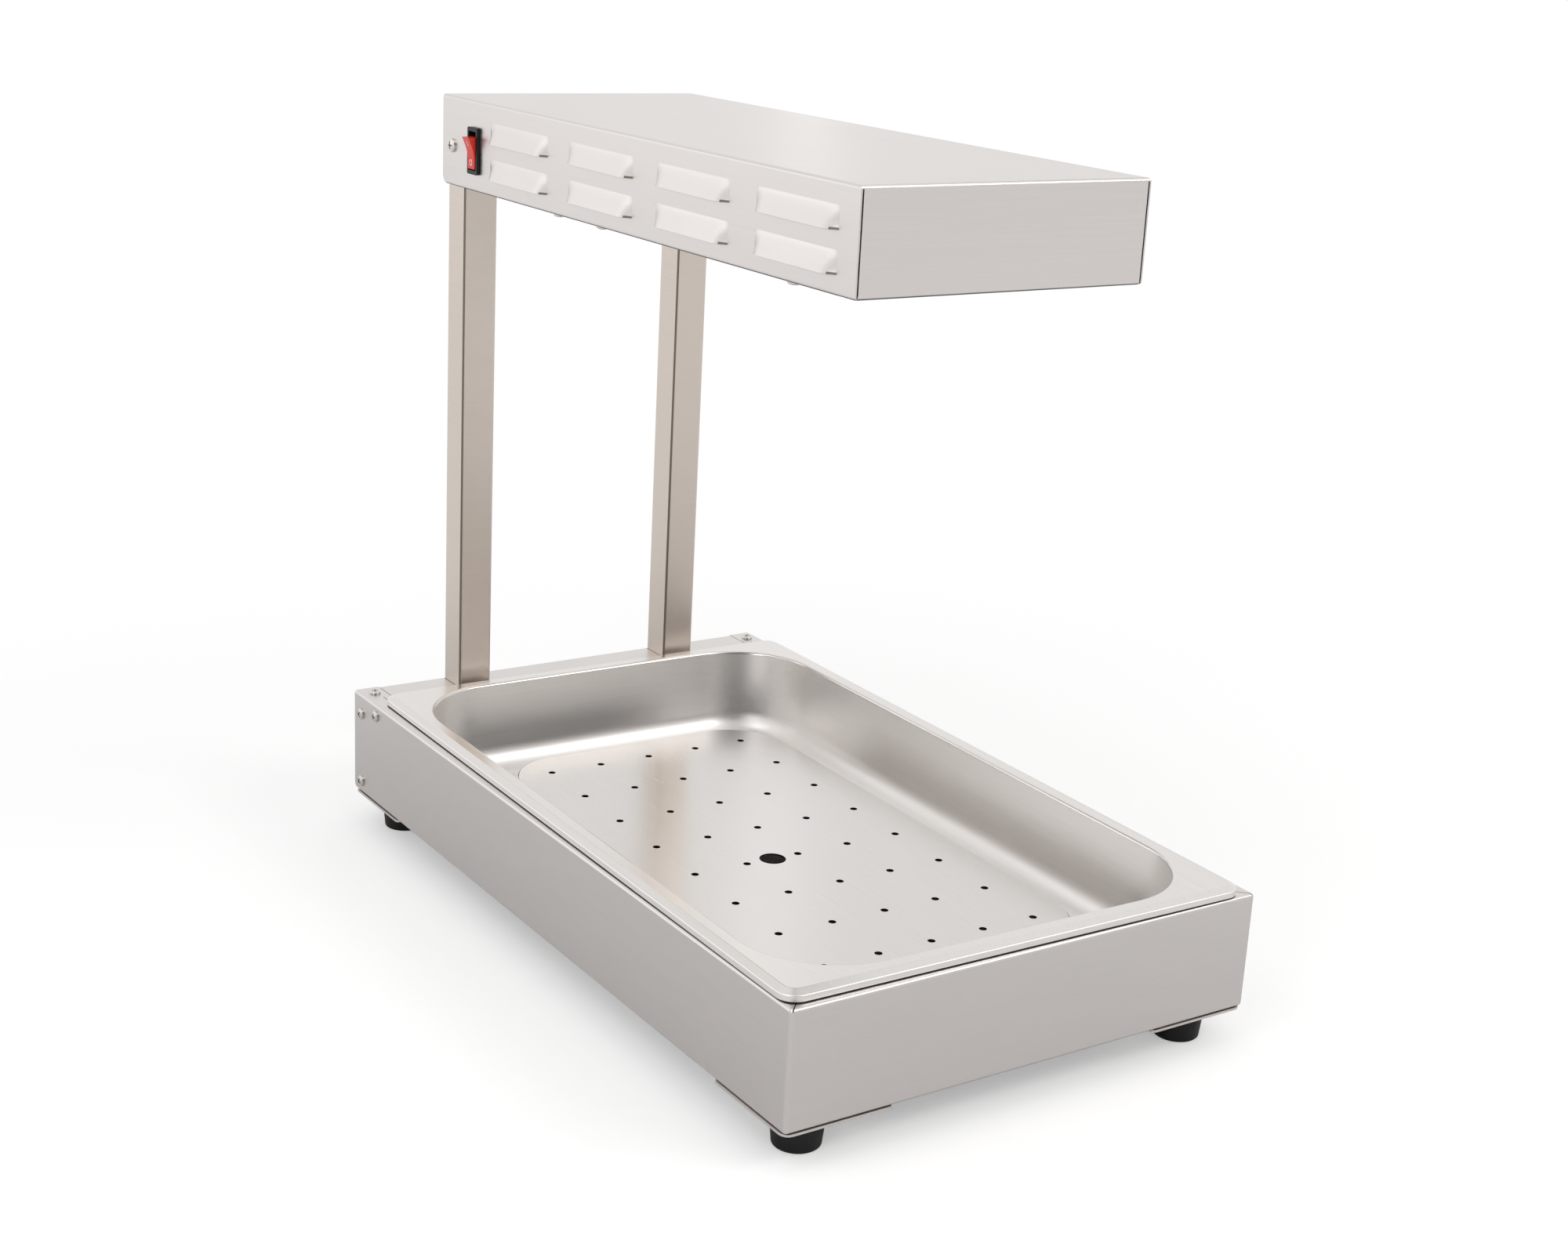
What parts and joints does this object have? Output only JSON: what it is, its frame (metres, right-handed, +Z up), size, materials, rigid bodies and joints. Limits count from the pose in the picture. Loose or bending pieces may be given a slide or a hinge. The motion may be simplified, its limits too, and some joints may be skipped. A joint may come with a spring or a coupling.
{
  "type": "french fry dump station",
  "caption": "Folded stainless base holding a loose deep pan with a perforated drain plate, under a heated louvred hood on two square posts.",
  "frame": {"origin": "middle of the overall footprint at counter level", "axes": "+X to the right and +Y to the back as the user stands in front, +Z up"},
  "size_m": [0.339, 0.571, 0.515],
  "materials": {
    "stainless_brushed": "brushed sheet, satin",
    "stainless_pan": "drawn sheet, satin",
    "stainless_tube": "polished tube",
    "reflector_sheet": "bright reflector sheet",
    "screw_steel": "polished screw heads",
    "element_sheath": "heat-darkened steel",
    "zinc_steel": "zinc plated",
    "contact_brass": "plain contact metal",
    "rubber_black": "matt rubber",
    "plastic_black": "fine satin moulding",
    "plastic_red": "glossy moulding",
    "ceramic_white": "unglazed ceramic",
    "wire_red": "sleeved wire",
    "wire_black": "sleeved wire",
    "wire_white": "sleeved wire",
    "wire_green": "sleeved wire"
  },
  "bodies": {
    "station": {"base_shell": "stainless_brushed", "rear_panel": "stainless_brushed", "foot_plate_front_left": "stainless_brushed", "rubber_foot_front_left": "rubber_black", "foot_bolt_front_left": "zinc_steel", "foot_plate_rear_left": "stainless_brushed", "rubber_foot_rear_left": "rubber_black", "foot_bolt_rear_left": "zinc_steel", "foot_plate_front_right": "stainless_brushed", "rubber_foot_front_right": "rubber_black", "foot_bolt_front_right": "zinc_steel", "foot_plate_rear_right": "stainless_brushed", "rubber_foot_rear_right": "rubber_black", "foot_bolt_rear_right": "zinc_steel", "side_screw_left_1": "screw_steel", "side_screw_left_2": "screw_steel", "side_screw_left_3": "screw_steel", "deck_screw_left": "screw_steel", "post_screw_left_1": "screw_steel", "post_screw_left_2": "screw_steel", "head_screw_left": "screw_steel", "underside_screw_left_1": "screw_steel", "underside_screw_left_2": "screw_steel", "underside_screw_left_3": "screw_steel", "underside_screw_front_left": "screw_steel", "side_screw_right_1": "screw_steel", "side_screw_right_2": "screw_steel", "side_screw_right_3": "screw_steel", "deck_screw_right": "screw_steel", "post_screw_right_1": "screw_steel", "post_screw_right_2": "screw_steel", "head_screw_right": "screw_steel", "underside_screw_right_1": "screw_steel", "underside_screw_right_2": "screw_steel", "underside_screw_right_3": "screw_steel", "underside_screw_front_right": "screw_steel", "post_left": "stainless_tube", "post_right": "stainless_tube", "head_hood": "stainless_brushed", "head_rear_panel": "stainless_brushed", "cord_gland": "plastic_black", "bottom_cover": "stainless_brushed", "reflector": "reflector_sheet", "heating_element": "element_sheath", "element_terminal_left": "ceramic_white", "element_terminal_right": "ceramic_white", "element_hanger_front": "zinc_steel", "element_hanger_rear": "zinc_steel", "wire_guard": "zinc_steel", "terminal_block": "ceramic_white", "wire_live": "wire_black", "wire_switched": "wire_red", "wire_neutral": "wire_white", "wire_earth": "wire_green", "switch_body": "plastic_black", "switch_blade_upper": "contact_brass", "switch_blade_lower": "contact_brass"},
    "pan": {"food_pan": "stainless_pan"},
    "plate": {"drain_plate": "stainless_pan"},
    "rocker": {"switch_rocker": "plastic_red"}
  },
  "joints": [
    {"name": "pan_lift", "type": "slide", "parent": "station", "child": "pan", "axis": [0, 0, 1], "range_m": [0, 0.12]},
    {"name": "plate_lift", "type": "slide", "parent": "pan", "child": "plate", "axis": [0, 0, 1], "range_m": [0, 0.07]},
    {"name": "switch_rock", "type": "hinge", "parent": "station", "child": "rocker", "pos_m": [-0.0971, 0.2365, 0.482], "axis": [0, 1, 0], "range_deg": [0, 24]}
  ]
}
